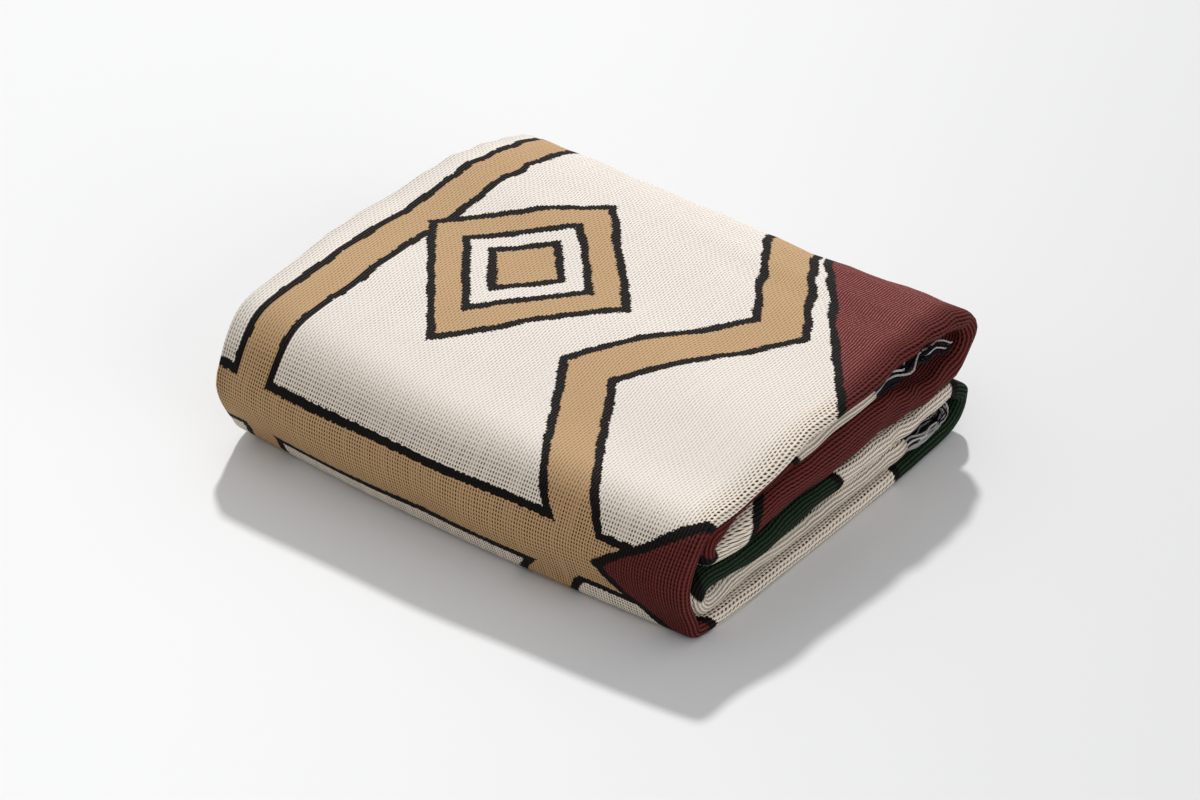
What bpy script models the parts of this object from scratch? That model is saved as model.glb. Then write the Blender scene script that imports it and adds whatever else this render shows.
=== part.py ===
"""A fringed woven throw, folded in four across its width and then in six along its length.

X runs along the folded width, with the rounded edges of the folds at +X. Y runs from the big
front fold at -Y to the two loops at the back. Z is up from the surface that the blanket lies on.
The names of the six strips run from the bottom of the stack to its top: G, E, D, C, B and A.
The cloth goes E, D, G, A, C, B: one spiral, with a fringed end inside each of the two back loops.
"""

import math

import bpy
import numpy as np

MM = 0.001

# Driving dimensions, in metres
FOLDED_WIDTH = 0.38
CLOTH = 0.0018
LAYER_GAP = 0.0025
EDGE_DEPTH = 0.0085
SEAM_GAP = 0.0004
BACKING_LENGTH = 0.004
BACKING_THICKNESS = 0.0015
STRAND_WIDTH = 0.0048
TIP_WIDTH = 0.0026
STRAND_SWAY = 0.0015
STRANDS_A_RUN = 12

# Millimetres from the foot of the front fold to each place where the stack is measured
STATIONS = (36, 90, 150, 214, 244)

# Height of each strip's four plies at those stations, in millimetres, from the bottom up. Past
# their fringed ends, the rows of E and B are the room that the fringes lie in.
STRIPS = {
    "G": (9.6, 9.6, 9.6, 10.0, 10.6),
    "E": (13.8, 12.0, 12.6, 14.0, 13.4),
    "D": (14.6, 17.4, 15.6, 12.0, 11.4),
    "C": (15.0, 23.8, 27.4, 26.0, 17.6),
    "B": (9.8, 10.0, 10.2, 17.6, 26.6),
    "A": (9.8, 10.0, 10.2, 10.6, 12.0),
}

# Millimetres from the mean edge to each strip's own folded edge, at those stations
EDGES = {
    "G": (2.0, 2.0, 2.0, 1.0, 0.0),
    "E": (-2.5, -3.0, -2.0, -2.0, 0.0),
    "D": (0.0, 0.5, -1.0, -1.0, -0.5),
    "C": (0.0, 0.5, 0.0, -1.0, -0.5),
    "B": (-5.0, -4.0, -3.0, -3.0, 0.0),
    "A": (0.0, 0.5, 0.0, 0.5, 0.5),
}
LAST_STATION = {"E": 214, "B": 150}

# Turns of the strip, as arcs: centre, radii, thickness and edge in millimetres
TURNS = {
    "E to D": {"y": 12.5, "z": 28.2, "across": 9.4, "up": 8.7, "thick": 13.6, "edge": -1.0},
    "D to G": {"y": 269.5, "z": 22.6, "across": 22.8, "up": 16.0, "thick": 13.0, "edge": -0.5},
    "A to C": {"y": 269.5, "z": 74.6, "across": 26.8, "up": 20.4, "thick": 15.6, "edge": 0.0},
    "C to B": {"y": 20.0, "z": 60.6, "across": 9.0, "up": 8.2, "thick": 12.8, "edge": -2.0},
}
FRONT_TURN = (-90, -270)
BACK_TURN = (90, -90)
TURN_ROWS = 5

# The big front fold, from the bottom to the top, in millimetres
FRONT_FOLD = (
    {"y": 13.0, "z": 4.9, "thick": 9.8, "edge": 1.0},
    {"y": 1.0, "z": 5.2, "thick": 9.8, "edge": 0.0},
    {"y": -4.5, "z": 8.5, "thick": 9.8, "edge": 0.0},
    {"y": -6.5, "z": 15.0, "thick": 9.8, "edge": 0.0},
    {"y": -12.0, "z": 31.0, "thick": 9.8, "edge": 0.0},
    {"y": -12.5, "z": 44.0, "thick": 9.8, "edge": -0.5},
    {"y": -9.0, "z": 58.0, "thick": 9.8, "edge": -0.5},
    {"y": -6.0, "z": 69.0, "thick": 9.8, "edge": 0.0},
    {"y": 1.0, "z": 76.4, "thick": 9.8, "edge": 0.0},
    {"y": 11.0, "z": 80.2, "thick": 9.8, "edge": 0.0},
    {"y": 22.0, "z": 80.5, "thick": 9.8, "edge": 0.0},
)

# The two fringed ends, from the cloth's end to the strands' tips, in millimetres
LOWER_END = (
    {"y": 227.0, "z": 19.0, "thick": 12.4, "edge": -2.0},
    {"y": 244.0, "z": 17.6, "thick": 8.6, "edge": -1.5},
    {"y": 261.0, "z": 17.2, "thick": 7.2, "edge": -1.5},
    {"y": 268.6, "z": 19.0, "thick": 7.2, "edge": -1.5},
    {"y": 272.4, "z": 23.4, "thick": 7.2, "edge": -1.5},
    {"y": 270.0, "z": 27.6, "thick": 7.2, "edge": -2.0},
)
UPPER_END = (
    {"y": 187.0, "z": 83.6, "thick": 11.0, "edge": -3.0},
    {"y": 216.0, "z": 84.8, "thick": 10.0, "edge": -3.0},
    {"y": 245.0, "z": 83.0, "thick": 9.0, "edge": -2.0},
    {"y": 272.0, "z": 76.0, "thick": 9.0, "edge": -2.0},
)

# The stack leans away from the section at its right end, towards its left end
LEFT_RISE = 0.100
RISE_REACH = 0.290
LEFT_HUMPS = (
    {"y": 0.040, "reach": 0.042, "high": 0.16},
    {"y": 0.217, "reach": 0.060, "high": 0.12},
)
LEFT_SWELL = 0.018
MIDDLE_BOW = 0.007
SWELL_REACH = 0.150
FOOT_SHARE = 0.30
STACK_HEIGHT = 0.100
LEFT_BULGE = 0.0085
BULGE_FROM = 0.020
BULGE_TO = 0.260
BACK_SAG = 0.0087
SAG_FROM = 0.120
CORNER_DROP = 0.107
CORNER_FROM = 0.60
PRESSED = 0.0004

# Metres by which each ply stops short of the left end, from the outer selvedge inwards
LEFT_SETBACKS = (0.0, 0.0015, 0.0030, 0.0045)

# Steps of the mesh: along a flat run, round the turns of the four plies, and along the cloth
RUN_STEPS = 4
OUTER_TURN_STEPS = 6
INNER_TURN_STEPS = 4
SHARPEST_STEP = math.radians(26)

CREAM = (0.80, 0.74, 0.65, 1.0)
INK = (0.035, 0.035, 0.045, 1.0)
GREY = (0.42, 0.42, 0.44, 1.0)
COLUMNS = ("y", "z", "thick", "edge")


def strip_rows(strip):
    """Rows of one strip at the stations, front to back, with its height from the strips below it."""
    rows = []
    for i, y in enumerate(STATIONS):
        if y > LAST_STATION.get(strip, y):
            break
        bottom = 0.0
        for name, thicks in STRIPS.items():
            if name == strip:
                break
            bottom += thicks[i] + LAYER_GAP / MM
        thick = STRIPS[strip][i]
        rows.append({"y": y, "z": bottom + thick / 2, "thick": thick, "edge": EDGES[strip][i]})
    return rows


def turn_rows(name, angles):
    """Rows along one turn's arc."""
    turn = TURNS[name]
    rows = []
    for angle in np.radians(np.linspace(*angles, TURN_ROWS)):
        y = turn["y"] + turn["across"] * math.cos(angle)
        z = turn["z"] + turn["up"] * math.sin(angle)
        rows.append({"y": y, "z": z, "thick": turn["thick"], "edge": turn["edge"]})
    return rows


def path_rows():
    """The rows of the strip's path, tip to tip, and the numbers of the cloth's first and last row."""
    rows = list(LOWER_END[::-1]) + strip_rows("E")[::-1]
    rows += turn_rows("E to D", FRONT_TURN) + strip_rows("D")
    rows += turn_rows("D to G", BACK_TURN) + strip_rows("G")[::-1]
    rows += list(FRONT_FOLD) + strip_rows("A")
    rows += turn_rows("A to C", BACK_TURN) + strip_rows("C")[::-1]
    rows += turn_rows("C to B", FRONT_TURN) + strip_rows("B") + list(UPPER_END)
    return rows, len(LOWER_END) - 1, len(rows) - len(UPPER_END)


class Path:
    """The strip's centre line, a smooth curve through its rows, measured along its chords in metres."""

    def __init__(self):
        rows, first, last = path_rows()
        self.values = np.array([[row[column] for column in COLUMNS] for row in rows]) * MM
        chords = np.hypot(np.diff(self.values[:, 0]), np.diff(self.values[:, 1]))
        self.knots = np.concatenate([[0.0], np.cumsum(chords)])
        self.bends = self.second_derivatives()
        self.cloth_start, self.cloth_end = self.knots[first], self.knots[last]

    def second_derivatives(self):
        """The second derivatives, at its knots, of the natural cubic spline through the rows."""
        steps = np.diff(self.knots)
        slopes = np.diff(self.values, axis=0) / steps[:, None]
        matrix = np.eye(len(self.knots))
        right = np.zeros_like(self.values)
        for i in range(1, len(self.knots) - 1):
            matrix[i, i - 1 : i + 2] = steps[i - 1], 2 * (steps[i - 1] + steps[i]), steps[i]
            right[i] = 6 * (slopes[i] - slopes[i - 1])
        return np.linalg.solve(matrix, right)

    def at(self, s):
        """The columns at these lengths along the path, and their slopes."""
        i = np.clip(np.searchsorted(self.knots, s, side="right") - 1, 0, len(self.knots) - 2)
        step = (self.knots[i + 1] - self.knots[i])[:, None]
        b = (s - self.knots[i])[:, None] / step
        a = 1 - b
        low, high = self.values[i], self.values[i + 1]
        bend_low, bend_high = self.bends[i], self.bends[i + 1]
        value = a * low + b * high + ((a**3 - a) * bend_low + (b**3 - b) * bend_high) * step**2 / 6
        slope = (high - low) / step + ((1 - 3 * a**2) * bend_low + (3 * b**2 - 1) * bend_high) * step / 6
        return value, slope

    def stops(self, start, end):
        """Lengths from start to end: every row, and more of them where the strip turns sharply."""
        low, high = sorted((start, end))
        rows = self.knots[(self.knots >= low) & (self.knots <= high)]
        slope = self.at(rows)[1]
        heading = np.unwrap(np.arctan2(slope[:, 1], slope[:, 0]))
        lengths = [low]
        for a, b, turned in zip(rows[:-1], rows[1:], np.abs(np.diff(heading))):
            steps = max(1, round(turned / SHARPEST_STEP))
            lengths.extend(np.linspace(a, b, steps + 1)[1:])
        return np.array(lengths if start == low else lengths[::-1])


def spiral(shares, outer_steps, inner_steps):
    """The four plies as one line of stops, from the outer selvedge to the inner one.

    A stop is a level (in plies from the strip's centre), a share of the flat run from the left end
    to the right turn, how far it goes past that run (in plies), and the number of its ply.
    """
    stops = []

    def run(level, way, ply):
        stops.extend((level, share, 0.0, ply) for share in shares[::way])

    def turn(centre, radius, start, stop, steps, share, ply):
        for angle in np.linspace(start, stop, steps + 1)[1:-1]:
            level = centre + radius * math.sin(angle)
            stops.append((level, share, radius * math.cos(angle), ply))

    half = math.pi / 2
    run(1.5, 1, 0)
    turn(0.0, 1.5, half, -half, outer_steps, 1.0, 0)
    run(-1.5, -1, 1)
    turn(-1.0, 0.5, -half, -3 * half, inner_steps, 0.0, 1)
    run(-0.5, 1, 1)
    turn(0.0, 0.5, -half, half, inner_steps, 1.0, 2)
    run(0.5, -1, 3)
    return np.array(stops)


def placed(path, plies, s):
    """Points of the middle surface: a row for each length along the path, a column for each stop."""
    value, slope = path.at(s)
    normal = np.stack([-slope[:, 1], slope[:, 0]], axis=-1)
    normal /= np.linalg.norm(normal, axis=-1, keepdims=True)
    level, share, past, ply = plies.T
    pitch = ((value[:, 2] - CLOTH) / 3)[:, None]
    depth = np.minimum(pitch, EDGE_DEPTH / 1.5)
    right = (FOLDED_WIDTH / 2 - CLOTH / 2 + value[:, 3])[:, None] - 1.5 * depth
    left = np.take(LEFT_SETBACKS, ply.astype(int)) - FOLDED_WIDTH / 2 + 0.5 * depth
    x = left + (right - left) * share + depth * past
    y = value[:, :1] + normal[:, :1] * level * pitch
    z = value[:, 1:2] + normal[:, 1:] * level * pitch
    return np.stack([x, y, z], axis=-1)


def settled(points):
    """The stack as it lies, pressed flat below, fuller to the left and sagging along its back."""
    x, y, z = points[..., 0], points[..., 1], points[..., 2] - PRESSED
    left = np.clip(0.5 - x / FOLDED_WIDTH, 0, 1)
    middle = np.sin(math.pi * left)
    rise = 1 - np.clip(y / RISE_REACH, 0, 1)
    swell = 1 - np.clip(y / SWELL_REACH, 0, 1)
    sag = np.clip((y - SAG_FROM) / SAG_FROM, 0, 1)
    along = np.clip((y - BULGE_FROM) / (BULGE_TO - BULGE_FROM), 0, 1)
    girth = np.sin(math.pi * np.clip(z / STACK_HEIGHT, 0, 1))
    forward = LEFT_SWELL * left * (FOOT_SHARE + (1 - FOOT_SHARE) * girth) + MIDDLE_BOW * middle
    corner = np.clip((left - CORNER_FROM) / (1 - CORNER_FROM), 0, 1) ** 2
    lift = LEFT_RISE * left * rise**2 * (3 - 2 * rise)
    for hump in LEFT_HUMPS:
        lift = lift + hump["high"] * left * np.exp(-(((y - hump["y"]) / hump["reach"]) ** 2))
    drop = (BACK_SAG / STACK_HEIGHT * middle + CORNER_DROP * corner) * sag**2 * (3 - 2 * sag)
    x = x - LEFT_BULGE * left**2 * np.sin(math.pi * along) ** 2
    y = y - forward * swell**2 * (3 - 2 * swell)
    return np.stack([x, y, z * (1 + lift - drop)], axis=-1)


def sheet_mesh(name, points, filled):
    """An open sheet of quads over a grid of points, where filled marks the quads that it has.

    A quad starts at the corner that has the diagonals of all layers lie the same way.
    """
    rows, columns = points.shape[:2]
    corner = np.arange(rows * columns).reshape(rows, columns)
    quads = np.stack([corner[:-1, :-1], corner[1:, :-1], corner[1:, 1:], corner[:-1, 1:]], axis=-1)
    rightward = np.diff(points[..., 0], axis=1)[:-1] > 0
    backward = np.diff(points[..., 1].mean(axis=1))[:, None] > 0
    turned = rightward != backward
    quads[turned] = np.roll(quads[turned], 1, axis=-1)
    quads = quads[filled]
    used, quads = np.unique(quads, return_inverse=True)
    mesh = bpy.data.meshes.new(name)
    mesh.from_pydata(points.reshape(-1, 3)[used].tolist(), [], quads.reshape(-1, 4).tolist())
    mesh.shade_smooth()
    return mesh


def solid_sheet(name, mesh, thickness, material, collection):
    """The sheet given its thickness, and flat where it meets the surface below."""
    sheet = bpy.data.objects.new(name, mesh)
    collection.objects.link(sheet)
    solidify = sheet.modifiers.new("Thickness", "SOLIDIFY")
    solidify.thickness = thickness
    solidify.offset = 0.0
    bpy.context.view_layer.update()
    graph = bpy.context.evaluated_depsgraph_get()
    sheet.data = bpy.data.meshes.new_from_object(sheet.evaluated_get(graph))
    sheet.modifiers.clear()
    for vertex in sheet.data.vertices:
        vertex.co.z = max(vertex.co.z, 0.0)
    sheet.data.materials.append(material)
    return sheet


def make_cloth(path, collection):
    """The woven cloth with all its folds, one sheet."""
    plies = spiral(np.linspace(0, 1, RUN_STEPS + 1), OUTER_TURN_STEPS, INNER_TURN_STEPS)
    points = settled(placed(path, plies, path.stops(path.cloth_start, path.cloth_end)))
    mesh = sheet_mesh("cloth", points, np.ones(np.array(points.shape[:2]) - 1, bool))
    return solid_sheet("cloth", mesh, CLOTH, fabric("woven cotton", CREAM), collection)


def comb_shares():
    """Shares of a flat run at which its strands start and end, with the run's own ends."""
    half = STRAND_WIDTH / FOLDED_WIDTH / 2
    middles = (np.arange(STRANDS_A_RUN) + 0.5) / STRANDS_A_RUN
    return np.concatenate([[0.0], np.stack([middles - half, middles + half], axis=-1).ravel(), [1.0]])


def strand_columns(plies):
    """Which steps between stops carry a strand: every other one of a run, two on the right turn."""
    carried = np.zeros(len(plies) - 1, bool)
    flat = (plies[:-1, 2] == 0) & (plies[1:, 2] == 0)
    starts = np.flatnonzero(np.diff(np.concatenate([[0], flat.astype(int)])) == 1)
    for start in starts:
        carried[start + 1 : start + 2 * STRANDS_A_RUN : 2] = True
    outer = np.flatnonzero(~flat)[:OUTER_TURN_STEPS]
    carried[outer[[1, -2]]] = True
    return carried


def make_fringe(path, name, material, root, tip, collection):
    """One end's fringe: a narrow backing, parted from the cloth's edge, with strands fused to it."""
    way = math.copysign(1.0, tip - root)
    backing = root + way * np.array([SEAM_GAP, SEAM_GAP + BACKING_LENGTH])
    plies = spiral(comb_shares(), OUTER_TURN_STEPS, INNER_TURN_STEPS)
    s = np.concatenate([backing, path.stops(root, tip)[1:]])
    points = placed(path, plies, s)
    carried = strand_columns(plies)
    filled = np.zeros((len(s) - 1, len(plies) - 1), bool)
    filled[0] = True
    filled[1:, carried] = True
    along = ((s - backing[1]) / (tip - backing[1])).clip(0)
    narrow = 1 - (1 - TIP_WIDTH / STRAND_WIDTH) * along
    for count, column in enumerate(np.flatnonzero(carried)):
        pair = points[:, column : column + 2]
        middle = pair.mean(axis=1, keepdims=True)
        pair[:] = middle + (pair - middle) * narrow[:, None, None]
        pair[..., 0] += (STRAND_SWAY * np.sin(2.4 * count + 5 * along) * along)[:, None]
    mesh = sheet_mesh(name, settled(points), filled)
    return solid_sheet(name, mesh, BACKING_THICKNESS, material, collection)


def fabric(name, colour):
    material = bpy.data.materials.new(name)
    material.use_nodes = True
    shader = material.node_tree.nodes["Principled BSDF"]
    shader.inputs["Base Color"].default_value = colour
    shader.inputs["Roughness"].default_value = 0.9
    shader.inputs["Metallic"].default_value = 0.0
    return material


def centre_on_origin(pieces):
    """Moves the points so that the origin is below the middle of the whole, on the surface."""
    points = np.array([vertex.co for piece in pieces for vertex in piece.data.vertices])
    middle = (points.min(axis=0) + points.max(axis=0)) / 2
    for piece in pieces:
        for vertex in piece.data.vertices:
            vertex.co.x -= middle[0]
            vertex.co.y -= middle[1]


def clear_scene():
    for obj in list(bpy.data.objects):
        bpy.data.objects.remove(obj, do_unlink=True)


def main():
    clear_scene()
    collection = bpy.data.collections.new("folded woven blanket")
    bpy.context.scene.collection.children.link(collection)
    path = Path()
    lower_tip, upper_tip = path.knots[[0, -1]]
    dark, pale = fabric("dark fringe yarn", INK), fabric("pale fringe yarn", GREY)
    pieces = [
        make_cloth(path, collection),
        make_fringe(path, "fringe_lower", pale, path.cloth_start, lower_tip, collection),
        make_fringe(path, "fringe_upper", dark, path.cloth_end, upper_tip, collection),
    ]
    centre_on_origin(pieces)


main()
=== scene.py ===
"""The looks of a fringed woven throw, folded in four across its width and in six along its length.

X runs along the folded width, with the rounded edges of the folds at +X. Y runs from the big front
fold to the two loops at the back, and Z is up. All sizes are in metres, where the solids lie.
"""

import math

import bpy
import numpy as np
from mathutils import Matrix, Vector


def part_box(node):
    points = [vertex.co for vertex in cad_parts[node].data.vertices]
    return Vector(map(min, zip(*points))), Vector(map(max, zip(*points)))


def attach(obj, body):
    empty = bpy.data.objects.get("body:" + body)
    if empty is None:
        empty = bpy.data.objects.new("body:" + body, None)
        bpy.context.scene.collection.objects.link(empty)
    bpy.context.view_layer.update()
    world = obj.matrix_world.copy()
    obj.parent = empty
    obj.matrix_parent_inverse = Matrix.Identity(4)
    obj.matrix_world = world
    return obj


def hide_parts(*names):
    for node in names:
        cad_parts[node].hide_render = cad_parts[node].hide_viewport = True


bl_info = {
    "name": "Folded woven blanket",
    "version": (1, 0, 0),
    "blender": (4, 5, 0),
    "location": "3D View > Sidebar > Blanket",
    "description": "A folded throw with its weave, its pattern and its two fringes",
    "category": "Add Mesh",
}

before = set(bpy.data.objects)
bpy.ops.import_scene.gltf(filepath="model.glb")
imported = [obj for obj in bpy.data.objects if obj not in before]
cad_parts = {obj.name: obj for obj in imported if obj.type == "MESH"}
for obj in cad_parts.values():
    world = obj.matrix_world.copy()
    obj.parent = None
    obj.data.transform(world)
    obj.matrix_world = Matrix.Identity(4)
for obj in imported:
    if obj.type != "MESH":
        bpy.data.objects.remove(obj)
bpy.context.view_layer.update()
CLOTH_LOW, CLOTH_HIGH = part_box("cloth")

MM = 0.001

# The stack's driving sizes, in metres
FOLDED_WIDTH = 0.38
LAYER_GAP = 0.0025
EDGE_DEPTH = 0.0085
SEAM_GAP = 0.0004

# Millimetres from the foot of the front fold to each place where the stack is measured
STATIONS = (36, 90, 150, 214, 244)

# Height of each strip's four plies at those stations, in millimetres, from the bottom up. Past
# their fringed ends, the rows of E and B are the room that the fringes lie in.
STRIPS = {
    "G": (9.6, 9.6, 9.6, 10.0, 10.6),
    "E": (13.8, 12.0, 12.6, 14.0, 13.4),
    "D": (14.6, 17.4, 15.6, 12.0, 11.4),
    "C": (15.0, 23.8, 27.4, 26.0, 17.6),
    "B": (9.8, 10.0, 10.2, 17.6, 26.6),
    "A": (9.8, 10.0, 10.2, 10.6, 12.0),
}

# Millimetres from the mean edge to each strip's own folded edge, at those stations
EDGES = {
    "G": (2.0, 2.0, 2.0, 1.0, 0.0),
    "E": (-2.5, -3.0, -2.0, -2.0, 0.0),
    "D": (0.0, 0.5, -1.0, -1.0, -0.5),
    "C": (0.0, 0.5, 0.0, -1.0, -0.5),
    "B": (-5.0, -4.0, -3.0, -3.0, 0.0),
    "A": (0.0, 0.5, 0.0, 0.5, 0.5),
}
LAST_STATION = {"E": 214, "B": 150}

# Turns of the strip, as arcs: centre, radii, thickness and edge in millimetres
TURNS = {
    "E to D": {"y": 12.5, "z": 28.2, "across": 9.4, "up": 8.7, "thick": 13.6, "edge": -1.0},
    "D to G": {"y": 269.5, "z": 22.6, "across": 22.8, "up": 16.0, "thick": 13.0, "edge": -0.5},
    "A to C": {"y": 269.5, "z": 74.6, "across": 26.8, "up": 20.4, "thick": 15.6, "edge": 0.0},
    "C to B": {"y": 20.0, "z": 60.6, "across": 9.0, "up": 8.2, "thick": 12.8, "edge": -2.0},
}
FRONT_TURN = (-90, -270)
BACK_TURN = (90, -90)
TURN_ROWS = 5

# The big front fold, from the bottom to the top, in millimetres
FRONT_FOLD = (
    {"y": 13.0, "z": 4.9, "thick": 9.8, "edge": 1.0},
    {"y": 1.0, "z": 5.2, "thick": 9.8, "edge": 0.0},
    {"y": -4.5, "z": 8.5, "thick": 9.8, "edge": 0.0},
    {"y": -6.5, "z": 15.0, "thick": 9.8, "edge": 0.0},
    {"y": -12.0, "z": 31.0, "thick": 9.8, "edge": 0.0},
    {"y": -12.5, "z": 44.0, "thick": 9.8, "edge": -0.5},
    {"y": -9.0, "z": 58.0, "thick": 9.8, "edge": -0.5},
    {"y": -6.0, "z": 69.0, "thick": 9.8, "edge": 0.0},
    {"y": 1.0, "z": 76.4, "thick": 9.8, "edge": 0.0},
    {"y": 11.0, "z": 80.2, "thick": 9.8, "edge": 0.0},
    {"y": 22.0, "z": 80.5, "thick": 9.8, "edge": 0.0},
)

# The two fringed ends, from the cloth's end to the strands' tips, in millimetres
LOWER_END = (
    {"y": 227.0, "z": 19.0, "thick": 12.4, "edge": -2.0},
    {"y": 244.0, "z": 17.6, "thick": 8.6, "edge": -1.5},
    {"y": 261.0, "z": 17.2, "thick": 7.2, "edge": -1.5},
    {"y": 268.6, "z": 19.0, "thick": 7.2, "edge": -1.5},
    {"y": 272.4, "z": 23.4, "thick": 7.2, "edge": -1.5},
    {"y": 270.0, "z": 27.6, "thick": 7.2, "edge": -2.0},
)
UPPER_END = (
    {"y": 187.0, "z": 83.6, "thick": 11.0, "edge": -3.0},
    {"y": 216.0, "z": 84.8, "thick": 10.0, "edge": -3.0},
    {"y": 245.0, "z": 83.0, "thick": 9.0, "edge": -2.0},
    {"y": 272.0, "z": 76.0, "thick": 9.0, "edge": -2.0},
)

# The stack leans away from the section at its right end, towards its left end
LEFT_RISE = 0.100
RISE_REACH = 0.290
LEFT_HUMPS = (
    {"y": 0.040, "reach": 0.042, "high": 0.16},
    {"y": 0.217, "reach": 0.060, "high": 0.12},
)
LEFT_SWELL = 0.018
MIDDLE_BOW = 0.007
SWELL_REACH = 0.150
FOOT_SHARE = 0.30
STACK_HEIGHT = 0.100
LEFT_BULGE = 0.0085
BULGE_FROM = 0.020
BULGE_TO = 0.260
BACK_SAG = 0.0087
SAG_FROM = 0.120
CORNER_DROP = 0.107
CORNER_FROM = 0.60
PRESSED = 0.0004

# Metres by which each ply stops short of the left end, from the outer selvedge inwards
LEFT_SETBACKS = (0.0, 0.0015, 0.0030, 0.0045)

COLUMNS = ("y", "z", "thick", "edge")

# Soft creases of the whole stack, as long troughs and ridges in its top: middle, half sizes, the
# turn of their length from X in degrees, and height, in metres
CREASES = (
    {"x": -0.070, "y": 0.060, "long": 0.090, "wide": 0.014, "turn": 9.0, "high": -0.0010},
    {"x": 0.030, "y": 0.125, "long": 0.110, "wide": 0.020, "turn": -12.0, "high": 0.0009},
    {"x": 0.085, "y": 0.232, "long": 0.090, "wide": 0.010, "turn": -2.0, "high": -0.0013},
    {"x": 0.070, "y": 0.252, "long": 0.100, "wide": 0.008, "turn": -3.0, "high": 0.0010},
    {"x": -0.060, "y": 0.180, "long": 0.100, "wide": 0.022, "turn": -22.0, "high": 0.0011},
    {"x": -0.110, "y": 0.225, "long": 0.060, "wide": 0.014, "turn": 14.0, "high": -0.0010},
    {"x": 0.120, "y": 0.075, "long": 0.050, "wide": 0.014, "turn": 38.0, "high": -0.0008},
)

# Soft dents in the big front fold's face: place along it and up it, half sizes, and depth, in metres
DENTS = (
    {"x": -0.020, "z": 0.030, "long": 0.020, "wide": 0.030, "deep": 0.0016},
    {"x": 0.045, "z": 0.052, "long": 0.030, "wide": 0.022, "deep": 0.0012},
    {"x": 0.110, "z": 0.028, "long": 0.024, "wide": 0.026, "deep": 0.0015},
    {"x": -0.100, "z": 0.062, "long": 0.040, "wide": 0.018, "deep": -0.0012},
    {"x": 0.165, "z": 0.058, "long": 0.018, "wide": 0.030, "deep": -0.0013},
)

# The dents are full up to this far in front of the foot, and fade out over this length, in metres
DENTS_FROM = 0.004
DENTS_FADE = 0.030

# Waves that shift the folds' edges and faces: the axis that they shift, height, how many waves a
# metre holds along each axis, and how far back from the foot they start, in metres
EVERYWHERE = -1.0
AT_THE_BACK = 0.160
WAVES = (
    {"axis": 0, "high": 0.0010, "x": 0.0, "y": 9.0, "z": 17.0, "phase": 0.6, "from": EVERYWHERE},
    {"axis": 0, "high": 0.0004, "x": 2.0, "y": 23.0, "z": -29.0, "phase": 2.1, "from": EVERYWHERE},
    {"axis": 0, "high": 0.0011, "x": 2.0, "y": 33.0, "z": -31.0, "phase": 2.1, "from": AT_THE_BACK},
    {"axis": 1, "high": 0.0008, "x": 7.0, "y": 1.0, "z": 9.0, "phase": 1.3, "from": EVERYWHERE},
    {"axis": 1, "high": 0.0010, "x": 19.0, "y": 2.0, "z": -34.0, "phase": 0.2, "from": AT_THE_BACK},
)
WAVE_RISE = 0.080

# Dents and waves are full above this height, and fade out below it
FREE_HEIGHT = STACK_HEIGHT / 3

# Steps of the cloth's mesh: stops along a flat run, steps round an outer and an inner edge, the
# sharpest turn between two rows, and the longest step along the cloth in metres
RUN_STOPS = 25
EDGE_STEPS = (12, 8)
CLOTH_TURN = math.radians(11)
CLOTH_STEP = 0.0085

# The same for the strands
STRAND_EDGE_STEPS = (10, 4)
STRAND_TURN = math.radians(12)
STRAND_STEP = 0.003

# Motifs of the pattern: the middle and half sizes on the flat cloth, in metres, from its nearest
# selvedge or middle line and from its lower end
LOZENGES = (
    {"colour": "crimson", "across": 0.380, "along": 1.262, "half_width": 0.165, "half_length": 0.205},
    {"colour": "green", "across": 0.380, "along": 0.562, "half_width": 0.110, "half_length": 0.052},
    {"colour": "green", "across": 0.380, "along": 0.305, "half_width": 0.110, "half_length": 0.070},
    {"colour": "crimson", "across": 0.380, "along": 0.868, "half_width": 0.062, "half_length": 0.046},
    {"colour": "crimson", "across": 0.380, "along": 1.558, "half_width": 0.070, "half_length": 0.048},
)
RINGS = [
    {"across": 0.122, "along": along, "half_width": 0.080, "half_length": 0.088}
    for along in (1.052, 0.692, 1.412, 0.332)
]
ZIGZAG = {"across": 0.262, "swing": 0.036, "period": 0.220, "half_band": 0.0135}
BORDER = {"across": 0.030, "half_band": 0.0120}
CROSS_BANDS = (0.868,)
CROSS_HALF_BAND = 0.0165
RING_BAND = 0.017
OUTLINE = 0.0060

# Where along the cloth its weave is pulled square over the big front fold, in metres
SQUARE_FROM = 0.800
SQUARE_TO = 0.925
SQUARE_BLEND = 0.035

# Shares of a flat run past which the cloth is drawn round its right edge and its left fold
DRAWN_RIGHT = 0.955
DRAWN_LEFT = 0.03

# How far the ribs wander round an edge, in ribs, and the outlines wander on the cloth, in metres
RIB_WANDER = 0.8
OUTLINE_WANDER = 0.0030

# Across a rib, 0 is its crown and 1 the groove beside it. A slot starts at this place, sooner
# where it is drawn open, and takes this much to be full
SLOT_SIDE = 0.60
SLOT_SIDE_OPENED = -0.22
SLOT_SIDE_RISE = 0.24

# Along a groove, the cosine of its beat at which a slot starts and is full
SLOT_ENDS = (-0.25, 0.20)

# Slots are fainter in patches: the noise's stretch across and along, its range, and the least slot
PATCH_STRETCH = (0.7, 0.045)
PATCH_RANGE = (0.30, 0.62)
LEAST_SLOT = 0.55

# How much of the painted shade in a slot shows where it isn't drawn open
SHUT_SLOT = 0.30

# Ranges of a colour's green share: from dark yarn to pale, and from black yarn to dyed
DARK_TO_PALE = (0.05, 0.45)
BLACK_TO_DYED = (0.012, 0.026)

# Lint and a painted highlight on the crowns of dark yarn: its specks, where a crown ends, its share on
# black yarn, what dyed yarn adds, and what is lost where the cloth is drawn round an edge into shade
LINT_HIGHLIGHT_SPECKS = (0.43, 0.68)
LINT_HIGHLIGHT_CROWN = (0.15, 0.70)
LINT_HIGHLIGHT_BLACK = 0.14
LINT_HIGHLIGHT_DYED = 0.38
LINT_HIGHLIGHT_DRAWN = -0.70
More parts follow.
